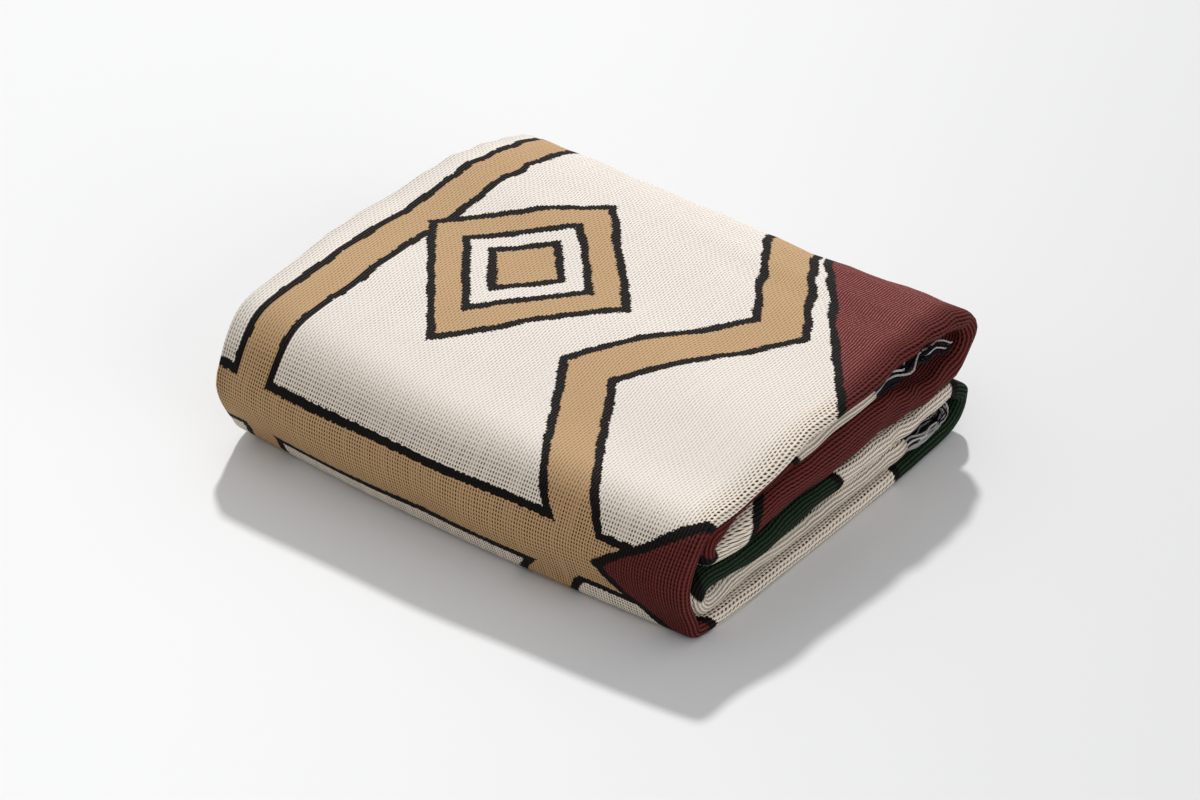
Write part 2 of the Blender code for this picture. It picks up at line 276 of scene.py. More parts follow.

# Painted shade in the grooves: where they start, on pale yarn, what dark yarn adds and drawn cloth takes
# off
GROOVE_SHADE = (0.25, 0.95)
GROOVE_PALE = -0.12
GROOVE_DARK = -0.46
GROOVE_DRAWN = 0.05

# How far the yarn's tone varies, and the painted shade that darkens dark yarn where it is drawn round an
# edge
UNEVEN = 0.18
DARK_DRAWN_SHADE = -0.38

# Heights in the bump, for a rib of height 1: slot, stitch, fuzz, and the share on flat cloth
SLOT_DEEP = -0.8
STITCH_HIGH = 0.10
FUZZ_HIGH = 0.25
FLAT_BUMP = 0.55
BUMP_STRENGTH = 0.9

# Fringe strands: sides, what a strand loses in width towards its tip, the noise that sways them
# (steps apart for each strand, waves a metre, shares each way), and the tone's own seed. Then come
# the height of the yarn's twist in metres, and, for the painted shade between the twist's turns and
# for the strand's tone, what each adds to its least share of the colour
STRAND_SIDES = 7
TIP_LOSS = 0.35
STRANDS_APART = (3.1, 5.3, 0.7)
SWAY_WAVES = (46.0, 46.0, 46.0)
SWAY_SHARES = (1.8, 1.2, 2.0)
TONE_SEED = 50.0
YARN_BUMP = 0.0004
TWIST_SHADE = (0.30, 0.70)
TONE_SHADE = (0.50, 0.55)
STRAND_INPUTS = (
    ("Geometry", "NodeSocketGeometry"),
    ("Strand radius", "NodeSocketFloat"),
    ("Sway", "NodeSocketFloat"),
    ("Fringe length", "NodeSocketFloat"),
    ("Pale share", "NodeSocketFloat"),
    ("Seed", "NodeSocketInt"),
    ("Material", "NodeSocketMaterial"),
)

# The floor's painted shade, where the light falls off, deepens over this range of metres to the right,
# turned by this much to the front.
# Then come its grain's share, and how far it lies under the blanket in metres
FLOOR_SHADE_RANGE = (-0.25, 0.62)
FLOOR_SHADE_LEAN = 0.3
FLOOR_GRAIN = 0.06
FLOOR_DROP = 0.0005

# Colour of the light all round, and how far away the lamps are placed, in metres
SKY_COLOUR = (0.985, 0.99, 1.0, 1.0)
LAMPS_AWAY = 2.0

# Scale and detail of each noise
NOISES = {
    "ribs": (30.0, 2.0),
    "outlines": (70.0, 3.0),
    "patches": (1.0, 2.0),
    "lint_and_highlight": (1500.0, 2.0),
    "tone": (1100.0, 3.0),
    "fuzz": (3000.0, 2.0),
    "floor": (700.0, 2.0),
}


def a_length(name, description, default):
    """A length that a user may change, in metres."""
    return bpy.props.FloatProperty(name=name, description=description, default=default, unit="LENGTH")


def a_colour(name, description, default):
    """A colour that a user may change."""
    return bpy.props.FloatVectorProperty(
        name=name, description=description, default=default, subtype="COLOR"
    )


def a_number(name, description, default):
    """A plain number that a user may change."""
    return bpy.props.FloatProperty(name=name, description=description, default=default)


def an_angle(name, description, degrees):
    """An angle that a user may change, given in degrees."""
    return bpy.props.FloatProperty(
        name=name, description=description, default=math.radians(degrees), subtype="ANGLE"
    )


class ClothSettings(bpy.types.PropertyGroup):
    """Sizes and colours of the woven cloth."""

    thickness: a_length("Thickness", "Thickness of the cloth", 0.0018)
    rib_pitch: a_length("Rib pitch", "Width of one rib of the weave", 0.00207)
    edge_pitch: a_length("Edge pitch", "Width of a rib round a folded edge", 0.0024)
    slot_pitch: a_length("Slot pitch", "Length from one slot to the next", 0.00386)
    square_pitch: a_length("Square pitch", "Slot pitch over the front fold", 0.0027)
    rib_height: a_length("Rib height", "Height of the ribs", 0.0006)
    cream: a_colour("Cream", "Ground colour", (0.88, 0.810, 0.735))
    tan: a_colour("Tan", "Colour of the bands", (0.585, 0.383, 0.207))
    ink: a_colour("Ink", "Colour of the outlines", (0.010, 0.0085, 0.0075))
    crimson: a_colour("Crimson", "Colour of the red lozenges", (0.215, 0.031, 0.028))
    green: a_colour("Green", "Colour of the green lozenges", (0.010, 0.044, 0.017))
    # Painted shade in the slots of the weave, over the dark threads that show through them
    painted_slot_shade: a_colour("Slot shade", "What is left of a colour in a slot", (0.028, 0.016, 0.009))
    # Painted shade: a warm tint for the faces drawn round a fold, which lie in shade
    painted_shade_tint: a_colour(
        "Stretched", "What is left of a colour where the cloth is drawn round a fold", (1.0, 0.955, 0.89)
    )
    # Lint and painted highlight: pale specks on the crowns of dark yarn, which also stand in for the lit
    # sheen of the fibres
    lint_and_highlight: a_colour("Lint", "Colour of the fine hairs on dark yarn", (0.55, 0.44, 0.41))


class FringeSettings(bpy.types.PropertyGroup):
    """Sizes and colours of the fringe strands."""

    strand_radius: a_length("Strand radius", "Radius of a strand at its root", 0.00080)
    strands_a_run: bpy.props.IntProperty(
        name="Strands a ply", description="Strands along one folded ply", default=32, min=4
    )
    sway_below: a_length("Sway, lower", "How far the lower tips wander", 0.0065)
    sway_above: a_length("Sway, upper", "How far the upper tips wander", 0.0105)
    twist: a_length("Twist", "Length of one turn of the yarn", 0.0042)
    seed: bpy.props.IntProperty(name="Seed", description="Seed of the strands' ways", default=7)
    dark: a_colour("Dark yarn", "Colour of dark strands", (0.008, 0.009, 0.016))
    pale: a_colour("Pale yarn", "Colour of pale strands", (0.88, 0.86, 0.84))
    pale_below: a_number("Pale share, lower", "Share of pale strands below", 0.50)
    pale_above: a_number("Pale share, upper", "Share of pale strands above", 0.16)


class StageSettings(bpy.types.PropertyGroup):
    """The floor, the light and the camera."""

    floor_size: a_length("Floor size", "Length of the floor's side", 12.0)
    floor: a_colour("Floor", "Colour of the floor", (0.853, 0.853, 0.853))
    # Painted shade: the floor's darker colour to the right, where the light falls off
    floor_right_in_shade: a_colour("Floor, right", "Its colour at the right", (0.715, 0.715, 0.715))
    sun: a_number("Sun", "Strength of the light from behind", 2.38)
    sun_height: an_angle("Sun height", "Angle of the light", 44.5)
    sun_spread: an_angle("Sun spread", "Softness of the shadow", 4.0)
    sky: a_number("Sky", "Strength of the light all round", 0.22)
    overhead: a_number("Overhead", "What the light all round gains overhead", 0.44)
    fill: a_number("Fill", "Strength of the light from the right", 1.08)
    fill_turn: an_angle("Fill turn", "Where it comes from", 84.0)
    fill_height: an_angle("Fill height", "Its angle", 12.0)
    fill_spread: an_angle("Fill spread", "Its softness", 60.0)
    camera_turn: an_angle("Camera turn", "Angle round the blanket", 38.35)
    camera_rise: an_angle("Camera rise", "Angle above the floor", 35.05)
    camera_distance: a_length("Camera distance", "From the camera to its aim", 2.911)
    camera_aim: bpy.props.FloatVectorProperty(
        name="Camera aim", description="The point in the picture's middle", default=(-0.0203, 0.0316, 0.0),
        subtype="TRANSLATION",
    )
    lens: a_number("Lens", "Focal length, in millimetres", 128.34)


def eased(share):
    """A smooth rise from 0 to 1 for a share that may pass either."""
    share = np.clip(share, 0, 1)
    return share**2 * (3 - 2 * share)


def strip_rows(strip):
    """Rows of one strip at the stations, front to back, with its height from the strips below it."""
    rows = []
    for i, y in enumerate(STATIONS):
        if y > LAST_STATION.get(strip, y):
            break
        bottom = 0.0
        for name, thicks in STRIPS.items():
            if name == strip:
                break
            bottom += thicks[i] + LAYER_GAP / MM
        thick = STRIPS[strip][i]
        rows.append({"y": y, "z": bottom + thick / 2, "thick": thick, "edge": EDGES[strip][i]})
    return rows


def turn_rows(name, angles):
    """Rows along one turn's arc."""
    turn = TURNS[name]
    rows = []
    for angle in np.radians(np.linspace(*angles, TURN_ROWS)):
        y = turn["y"] + turn["across"] * math.cos(angle)
        z = turn["z"] + turn["up"] * math.sin(angle)
        rows.append({"y": y, "z": z, "thick": turn["thick"], "edge": turn["edge"]})
    return rows


def path_rows():
    """The rows of the strip's path, tip to tip, and the numbers of the cloth's first and last row."""
    rows = list(LOWER_END[::-1]) + strip_rows("E")[::-1]
    rows += turn_rows("E to D", FRONT_TURN) + strip_rows("D")
    rows += turn_rows("D to G", BACK_TURN) + strip_rows("G")[::-1]
    rows += list(FRONT_FOLD) + strip_rows("A")
    rows += turn_rows("A to C", BACK_TURN) + strip_rows("C")[::-1]
    rows += turn_rows("C to B", FRONT_TURN) + strip_rows("B") + list(UPPER_END)
    return rows, len(LOWER_END) - 1, len(rows) - len(UPPER_END)


class Path:
    """The strip's centre line, a smooth curve through its rows, measured along its chords in metres."""

    def __init__(self):
        rows, first, last = path_rows()
        self.values = np.array([[row[column] for column in COLUMNS] for row in rows]) * MM
        chords = np.hypot(np.diff(self.values[:, 0]), np.diff(self.values[:, 1]))
        self.knots = np.concatenate([[0.0], np.cumsum(chords)])
        self.bends = self.second_derivatives()
        self.cloth_start, self.cloth_end = self.knots[first], self.knots[last]

    def second_derivatives(self):
        """The second derivatives, at its knots, of the natural cubic spline through the rows."""
        steps = np.diff(self.knots)
        slopes = np.diff(self.values, axis=0) / steps[:, None]
        matrix = np.eye(len(self.knots))
        right = np.zeros_like(self.values)
        for i in range(1, len(self.knots) - 1):
            matrix[i, i - 1 : i + 2] = steps[i - 1], 2 * (steps[i - 1] + steps[i]), steps[i]
            right[i] = 6 * (slopes[i] - slopes[i - 1])
        return np.linalg.solve(matrix, right)

    def at(self, s):
        """The columns at these lengths along the path, and their slopes."""
        i = np.clip(np.searchsorted(self.knots, s, side="right") - 1, 0, len(self.knots) - 2)
        step = (self.knots[i + 1] - self.knots[i])[:, None]
        b = (s - self.knots[i])[:, None] / step
        a = 1 - b
        low, high = self.values[i], self.values[i + 1]
        bend_low, bend_high = self.bends[i], self.bends[i + 1]
        value = a * low + b * high + ((a**3 - a) * bend_low + (b**3 - b) * bend_high) * step**2 / 6
        slope = (high - low) / step + ((1 - 3 * a**2) * bend_low + (3 * b**2 - 1) * bend_high) * step / 6
        return value, slope

    def stops(self, start, end, sharpest, longest):
        """Lengths from start to end, close enough for this sharpest turn and this longest step."""
        low, high = sorted((start, end))
        rows = self.knots[(self.knots >= low) & (self.knots <= high)]
        slope = self.at(rows)[1]
        heading = np.unwrap(np.arctan2(slope[:, 1], slope[:, 0]))
        lengths = [low]
        for a, b, turned in zip(rows[:-1], rows[1:], np.abs(np.diff(heading))):
            steps = math.ceil(max(turned / sharpest, (b - a) / longest))
            lengths.extend(np.linspace(a, b, steps + 1)[1:])
        return np.array(lengths if start == low else lengths[::-1])


def spiral(shares, outer_steps, inner_steps):
    """The four plies as one line of stops, from the outer selvedge to the inner one.

    A stop is a level (in plies from the strip's centre), a share of the flat run from the left end
    to the right turn, how far it goes past that run (in plies), and the number of its ply.
    """
    stops = []

    def run(level, way, ply):
        stops.extend((level, share, 0.0, ply) for share in shares[::way])

    def turn(centre, radius, start, stop, steps, share, ply):
        for angle in np.linspace(start, stop, steps + 1)[1:-1]:
            level = centre + radius * math.sin(angle)
            stops.append((level, share, radius * math.cos(angle), ply))

    half = math.pi / 2
    run(1.5, 1, 0)
    turn(0.0, 1.5, half, -half, outer_steps, 1.0, 0)
    run(-1.5, -1, 1)
    turn(-1.0, 0.5, -half, -3 * half, inner_steps, 0.0, 1)
    run(-0.5, 1, 1)
    turn(0.0, 0.5, -half, half, inner_steps, 1.0, 2)
    run(0.5, -1, 3)
    return np.array(stops)


def placed(path, plies, s, thickness):
    """Points of the middle surface: a row for each length along the path, a column for each stop."""
    value, slope = path.at(s)
    normal = np.stack([-slope[:, 1], slope[:, 0]], axis=-1)
    normal /= np.linalg.norm(normal, axis=-1, keepdims=True)
    level, share, past, ply = plies.T
    pitch = ((value[:, 2] - thickness) / 3)[:, None]
    depth = np.minimum(pitch, EDGE_DEPTH / 1.5)
    right = (FOLDED_WIDTH / 2 - thickness / 2 + value[:, 3])[:, None] - 1.5 * depth
    left = np.take(LEFT_SETBACKS, ply.astype(int)) - FOLDED_WIDTH / 2 + 0.5 * depth
    x = left + (right - left) * share + depth * past
    y = value[:, :1] + normal[:, :1] * level * pitch
    z = value[:, 1:2] + normal[:, 1:] * level * pitch
    return np.stack([x, y, z], axis=-1)


def settled(points):
    """The stack as it lies, pressed flat below, fuller to the left and sagging along its back."""
    x, y, z = points[..., 0], points[..., 1], points[..., 2] - PRESSED
    left = np.clip(0.5 - x / FOLDED_WIDTH, 0, 1)
    middle = np.sin(math.pi * left)
    rise = 1 - np.clip(y / RISE_REACH, 0, 1)
    swell = 1 - np.clip(y / SWELL_REACH, 0, 1)
    sag = np.clip((y - SAG_FROM) / SAG_FROM, 0, 1)
    along = np.clip((y - BULGE_FROM) / (BULGE_TO - BULGE_FROM), 0, 1)
    girth = np.sin(math.pi * np.clip(z / STACK_HEIGHT, 0, 1))
    forward = LEFT_SWELL * left * (FOOT_SHARE + (1 - FOOT_SHARE) * girth) + MIDDLE_BOW * middle
    corner = np.clip((left - CORNER_FROM) / (1 - CORNER_FROM), 0, 1) ** 2
    lift = LEFT_RISE * left * rise**2 * (3 - 2 * rise)
    for hump in LEFT_HUMPS:
        lift = lift + hump["high"] * left * np.exp(-(((y - hump["y"]) / hump["reach"]) ** 2))
    drop = (BACK_SAG / STACK_HEIGHT * middle + CORNER_DROP * corner) * sag**2 * (3 - 2 * sag)
    x = x - LEFT_BULGE * left**2 * np.sin(math.pi * along) ** 2
    y = y - forward * swell**2 * (3 - 2 * swell)
    return np.stack([x, y, z * (1 + lift - drop)], axis=-1)


def creased(points):
    """The settled stack with its soft creases, which fade towards the surface that it lies on."""
    x, y, z = points[..., 0], points[..., 1], points[..., 2]
    lift = np.zeros_like(x)
    for crease in CREASES:
        angle = math.radians(crease["turn"])
        dx, dy = x - crease["x"], y - crease["y"]
        along = (dx * math.cos(angle) + dy * math.sin(angle)) / crease["long"]
        across = (dy * math.cos(angle) - dx * math.sin(angle)) / crease["wide"]
        lift += crease["high"] * np.exp(-(along**2) - across**2)
    moved = points.copy()
    moved[..., 2] *= 1 + lift / STACK_HEIGHT
    height = np.clip(z / FREE_HEIGHT, 0, 1)
    front = eased(1 - (y + DENTS_FROM) / DENTS_FADE)
    for dent in DENTS:
        along, up = (x - dent["x"]) / dent["long"], (z - dent["z"]) / dent["wide"]
        moved[..., 1] += dent["deep"] * front * height * np.exp(-(along**2) - up**2)
    for wave in WAVES:
        turns = x * wave["x"] + y * wave["y"] + z * wave["z"]
        high = wave["high"] * height * eased((y - wave["from"]) / WAVE_RISE)
        moved[..., wave["axis"]] += high * np.sin(math.tau * turns + wave["phase"])
    return moved


def weave_counts(cloth, plies, s, points):
    """Where the weave's threads run, for every point of the cloth's middle surface.

    They are the number of ribs from the outer selvedge, the number of slots from the lower end, the
    metres along the cloth for each slot, how far the slots are drawn open, and how far they stand
    square to the ribs. Ribs are as wide on every flat run, and wider round the folded edges.
    """
    _, share, past, ply = plies.T
    folded = np.clip((share - DRAWN_RIGHT) / (1 - DRAWN_RIGHT), 0, 1)
    folded += np.clip(1 - share / DRAWN_LEFT, 0, 1) * (ply == 1)
    wide = cloth.rib_pitch + (cloth.edge_pitch - cloth.rib_pitch) * (folded[1:] + folded[:-1]) / 2
    steps = np.linalg.norm(np.diff(points, axis=1), axis=-1) / wide
    ribs = np.pad(np.cumsum(steps, axis=1), ((0, 0), (1, 0)))
    ribs -= ribs[:, [np.argmax(share > 0.5)]]
    ribs += FOLDED_WIDTH / cloth.rib_pitch - ribs[:, np.argmax(past)].mean()

    square = eased((s - SQUARE_FROM) / SQUARE_BLEND) * eased((SQUARE_TO - s) / SQUARE_BLEND)
    pitch = cloth.slot_pitch + (cloth.square_pitch - cloth.slot_pitch) * square
    pitch = (pitch[1:] + pitch[:-1])[:, None] / 2
    steps = np.linalg.norm(np.diff(points, axis=0), axis=-1) / pitch
    slots = np.pad(np.cumsum(steps, axis=0), ((1, 0), (0, 0)))
    slots -= slots[np.argmax(s > (SQUARE_FROM + SQUARE_TO) / 2)]
    slots += (SQUARE_FROM + SQUARE_TO) / 2 / cloth.slot_pitch
    return {
        "ribs": ribs,
        "slots": slots,
        "pitch": 1 / np.gradient(slots, s, axis=0),
        "square": np.broadcast_to(square[:, None], ribs.shape),
        # How far the weave is drawn open, which also marks the faces that get painted shade
        "opened_and_shaded": np.maximum(square[:, None], folded[None, :]),
    }


def new_object(context, name, data):
    """A new object in the scene."""
    made = bpy.data.objects.new(name, data)
    context.scene.collection.objects.link(made)
    return made


def sheet_mesh(name, points):
    """An open sheet of quads over a grid of points, whose layers have their diagonals the same way."""
    rows, columns = points.shape[:2]
    corner = np.arange(rows * columns).reshape(rows, columns)
    quads = np.stack([corner[:-1, :-1], corner[1:, :-1], corner[1:, 1:], corner[:-1, 1:]], axis=-1)
    rightward = np.diff(points[..., 0], axis=1)[:-1] > 0
    backward = np.diff(points[..., 1].mean(axis=1))[:, None] > 0
    turned = rightward != backward
    quads[turned] = np.roll(quads[turned], 1, axis=-1)
    mesh = bpy.data.meshes.new(name)
    mesh.from_pydata(points.reshape(-1, 3).tolist(), [], quads.reshape(-1, 4).tolist())
    mesh.shade_smooth()
    return mesh


def lay_uv(mesh, name, first, second):
    """A UV map of two values for each vertex."""
    grid = np.stack([first, second], axis=-1).reshape(-1, 2)
    corners = np.empty(len(mesh.loops), np.int32)
    mesh.loops.foreach_get("vertex_index", corners)
    layer = mesh.uv_layers.new(name=name)
    layer.uv.foreach_set("vector", grid[corners].astype(np.float32).ravel())


def finished(piece):
    """The piece with its modifiers made part of its mesh."""
    bpy.context.view_layer.update()
    graph = bpy.context.evaluated_depsgraph_get()
    mesh = bpy.data.meshes.new_from_object(piece.evaluated_get(graph), depsgraph=graph)
    piece.modifiers.clear()
    piece.data = mesh
    return piece


class Sums:
    """Maths on a node tree's sockets: each call adds a node and returns its output."""

    def __init__(self, tree):
        self.tree = tree

    def add(self, kind, inputs, output=0, **settings):
        """Adds a node, and links its inputs, by name or number, to other sockets or sets them."""
        node = self.tree.nodes.new(kind)
        for name, value in settings.items():
            setattr(node, name, value)
        for name, value in inputs.items():
            if isinstance(value, bpy.types.NodeSocket):
                self.tree.links.new(value, node.inputs[name])
            else:
                node.inputs[name].default_value = value
        return node.outputs[output]

    def __call__(self, operation, *inputs):
        return self.add("ShaderNodeMath", dict(enumerate(inputs)), operation=operation)

    def vector(self, operation, *inputs):
        return self.add("ShaderNodeVectorMath", dict(enumerate(inputs)), operation=operation)

    def ramp(self, value, low, high):
        """0 below low and 1 above high, with a smooth rise between them."""
        inputs = {0: value, 1: low, 2: high}
        return self.add("ShaderNodeMapRange", inputs, interpolation_type="SMOOTHSTEP")

    def noise(self, vector, name):
        scale, detail = NOISES[name]
        inputs = {"Vector": vector, "Scale": scale, "Detail": detail}
        return self.add("ShaderNodeTexNoise", inputs, "Fac")

    def uv(self, name):
        return self.add("ShaderNodeUVMap", {}, "UV", uv_map=name)

    def attribute(self, name):
        return self.add("ShaderNodeAttribute", {}, "Fac", attribute_name=name)

    def split(self, vector):
        node = self.tree.nodes.new("ShaderNodeSeparateXYZ")
        self.tree.links.new(vector, node.inputs[0])
        return node.outputs

    def grey(self, value):
        return self.add("ShaderNodeCombineXYZ", {"X": value, "Y": value, "Z": value})

    def grid(self, across, along, stretch):
        """A place for a noise, with its own stretch each way."""
        x, y = self("MULTIPLY", across, stretch[0]), self("MULTIPLY", along, stretch[1])
        return self.add("ShaderNodeCombineXYZ", {"X": x, "Y": y})

    def random(self, value):
        return self.add("ShaderNodeTexWhiteNoise", {"W": value}, "Value", noise_dimensions="1D")

    def mix(self, share, low, high, blend="MIX"):
        inputs = {0: share, 6: low, 7: high}
        return self.add("ShaderNodeMix", inputs, 2, data_type="RGBA", blend_type=blend)

    def bump(self, height, distance, strength):
        inputs = {"Height": height, "Distance": distance, "Strength": strength}
        return self.add("ShaderNodeBump", inputs)


def new_finish(name, roughness, specular):
    """A new material, its shader, and the sums for its sockets."""
    material = bpy.data.materials.new(name)
    material.use_nodes = True
    shader = material.node_tree.nodes["Principled BSDF"]
    shader.inputs["Roughness"].default_value = roughness
    shader.inputs["Specular IOR Level"].default_value = specular
    return material, shader, Sums(material.node_tree)


def lozenge_distance(sums, across, along, row):
    """Metres outside a lozenge's sides, and negative inside them."""
    wide, long = row["half_width"], row["half_length"]
    x = sums("ABSOLUTE", sums("SUBTRACT", across, row["across"]))
    y = sums("ABSOLUTE", sums("SUBTRACT", along, row["along"]))
    share = sums("ADD", sums("DIVIDE", x, wide), sums("DIVIDE", y, long))
    return sums("MULTIPLY", sums("SUBTRACT", share, 1.0), wide * long / math.hypot(wide, long))


def band_distance(sums, distance, half_band):
    """Metres outside a band that follows where this distance is zero."""
    return sums("SUBTRACT", sums("ABSOLUTE", distance), half_band)


def zigzag_distance(sums, across, along):
    """Metres from the zigzag's middle line."""
    share = sums("FRACT", sums("DIVIDE", along, ZIGZAG["period"]))
    swing = sums("ABSOLUTE", sums("SUBTRACT", sums("MULTIPLY", share, 2.0), 1.0))
    middle = sums("MULTIPLY_ADD", swing, 2 * ZIGZAG["swing"], ZIGZAG["across"] - ZIGZAG["swing"])
    slant = math.atan(4 * ZIGZAG["swing"] / ZIGZAG["period"])
    return sums("MULTIPLY", sums("SUBTRACT", across, middle), math.cos(slant))


def painted(sums, colour, distance, fill, ink):
    """The colour so far, with one motif's outline and its fill laid over it."""
    outlined = sums.mix(sums("LESS_THAN", distance, OUTLINE), colour, ink)
    return sums.mix(sums("LESS_THAN", distance, 0.0), outlined, fill)


def pattern(sums, across, along, cloth):
    """The woven picture: bands and lozenges with dark outlines on a cream ground."""
    cream, tan, ink = ((*colour, 1.0) for colour in (cloth.cream, cloth.tan, cloth.ink))
    fills = {"crimson": (*cloth.crimson, 1.0), "green": (*cloth.green, 1.0)}
    bands = band_distance(sums, zigzag_distance(sums, across, along), ZIGZAG["half_band"])
    border = band_distance(sums, sums("SUBTRACT", across, BORDER["across"]), BORDER["half_band"])
    bands = sums("MINIMUM", bands, border)
    for middle in CROSS_BANDS:
        line = sums("SUBTRACT", along, middle)
        bands = sums("MINIMUM", bands, band_distance(sums, line, CROSS_HALF_BAND))
    colour = painted(sums, cream, bands, tan, ink)
    for row in RINGS:
        edge = lozenge_distance(sums, across, along, row)
        colour = painted(sums, colour, edge, tan, ink)
        inner = sums("ADD", edge, RING_BAND + OUTLINE)
        colour = painted(sums, colour, inner, cream, ink)
        core = sums("ADD", edge, 2 * RING_BAND + OUTLINE)
        colour = painted(sums, colour, core, tan, ink)
    for row in LOZENGES:
        edge = lozenge_distance(sums, across, along, row)
        colour = painted(sums, colour, edge, fills[row["colour"]], ink)
    return colour


def weave_slots(sums, ribs, slots, opened_and_shaded, square):
    """How near a point is to the groove beside its rib, and how deep in a slot, both from 0 to 1.

    A slot lies in a groove, half a step on from those beside it where the weave isn't square.
    """
    groove = sums("ABSOLUTE", sums("MULTIPLY_ADD", sums("FRACT", ribs), 2.0, -1.0))
    number = sums("FLOOR", sums("ADD", ribs, 0.5))
    odd = sums("MULTIPLY", sums("MODULO", number, 2.0), 0.5)
    stagger = sums("MULTIPLY", odd, sums("SUBTRACT", 1.0, square))
    beat = sums("COSINE", sums("MULTIPLY", sums("ADD", slots, stagger), math.tau))
    side = sums("MULTIPLY_ADD", opened_and_shaded, SLOT_SIDE_OPENED, SLOT_SIDE)
    gap = sums.ramp(groove, side, sums("ADD", side, SLOT_SIDE_RISE))
    slot = sums("MULTIPLY", gap, sums.ramp(beat, *SLOT_ENDS))
    patches = sums.noise(sums.grid(number, slots, PATCH_STRETCH), "patches")
    patchy = sums("MULTIPLY_ADD", sums.ramp(patches, *PATCH_RANGE), 1 - LEAST_SLOT, LEAST_SLOT)
    return groove, sums("MULTIPLY", slot, patchy)


def stepped_place(sums, cloth, flat, ribs, slots, pitch):
    """Metres across and along the cloth, in steps of half a rib and half a slot."""
    _, length, _ = sums.split(flat)
    half_rib = sums("FLOOR", sums("MULTIPLY", ribs, 2.0))
    half_slots = sums("ADD", sums("MULTIPLY", slots, 2.0), sums.random(sums("FLOOR", ribs)))
    part = sums("SUBTRACT", sums("FRACT", half_slots), 0.5)
    along = sums("SUBTRACT", length, sums("MULTIPLY", part, sums("MULTIPLY", pitch, 0.5)))
    column = sums("MULTIPLY", sums("ADD", half_rib, 0.5), cloth.rib_pitch / 2)
    noise = sums.noise(flat, "outlines")
    wobble = sums("MULTIPLY_ADD", noise, 2 * OUTLINE_WANDER, -OUTLINE_WANDER)
    repeat = sums("PINGPONG", sums("ADD", column, wobble), 2 * FOLDED_WIDTH)
    return sums("MINIMUM", repeat, sums("SUBTRACT", 2 * FOLDED_WIDTH, repeat)), along


def yarn_colour(sums, cloth, colour, flat, groove, slot, opened_and_shaded):
    """The pattern's colour with lint and a painted highlight on the crowns, its uneven tone, and painted
    shade in the grooves, the slots and round the edges.
    """
    _, middle, _ = sums.split(colour)
    dark = sums("SUBTRACT", 1.0, sums.ramp(middle, *DARK_TO_PALE))
    # Lint and a painted highlight on the crowns of dark yarn, less where the cloth is drawn round an edge
    # into shade
    specks = sums.ramp(sums.noise(flat, "lint_and_highlight"), *LINT_HIGHLIGHT_SPECKS)
    crest = sums("SUBTRACT", 1.0, sums.ramp(groove, *LINT_HIGHLIGHT_CROWN))
    share = sums("MULTIPLY_ADD", sums.ramp(middle, *BLACK_TO_DYED), LINT_HIGHLIGHT_DYED, LINT_HIGHLIGHT_BLACK)
    share = sums("MULTIPLY", share, sums("MULTIPLY_ADD", opened_and_shaded, LINT_HIGHLIGHT_DRAWN, 1.0))
    lint_and_highlight = sums("MULTIPLY", sums("MULTIPLY", specks, crest), sums("MULTIPLY", dark, share))
    colour = sums.mix(lint_and_highlight, colour, (*cloth.lint_and_highlight, 1.0))

    uneven = sums("MULTIPLY_ADD", sums.noise(flat, "tone"), 2 * UNEVEN, 1 - UNEVEN)
    # Painted shade in the grooves between the ribs, deeper on dark yarn
    groove_shade_weight = sums("MULTIPLY_ADD", opened_and_shaded, GROOVE_DRAWN, GROOVE_PALE)
    groove_shade_weight = sums("MULTIPLY_ADD", dark, GROOVE_DARK, groove_shade_weight)
    line = sums("MULTIPLY", sums.ramp(groove, *GROOVE_SHADE), groove_shade_weight)
    shade = sums("MULTIPLY", uneven, sums("ADD", line, 1.0))
    # Painted shade: dark yarn is darker where the cloth is drawn round an edge
    painted_edge_shade = sums("MULTIPLY_ADD", sums("MULTIPLY", dark, opened_and_shaded), DARK_DRAWN_SHADE, 1.0)
    colour = sums.mix(1.0, colour, sums.grey(sums("MULTIPLY", shade, painted_edge_shade)), "MULTIPLY")
    # A warm tint painted over the faces drawn round a fold, standing in for the light in their shade
    colour = sums.mix(opened_and_shaded, colour, (*cloth.painted_shade_tint, 1.0), "MULTIPLY")
    # Painted shade in the slots: full where the cloth is drawn round a fold, fainter on flat cloth
    depth = sums("MULTIPLY", slot, sums("MULTIPLY_ADD", opened_and_shaded, 1 - SHUT_SLOT, SHUT_SLOT))
    shaded = sums.mix(depth, (1.0, 1.0, 1.0, 1.0), (*cloth.painted_slot_shade, 1.0))
    return sums.mix(1.0, colour, shaded, "MULTIPLY")


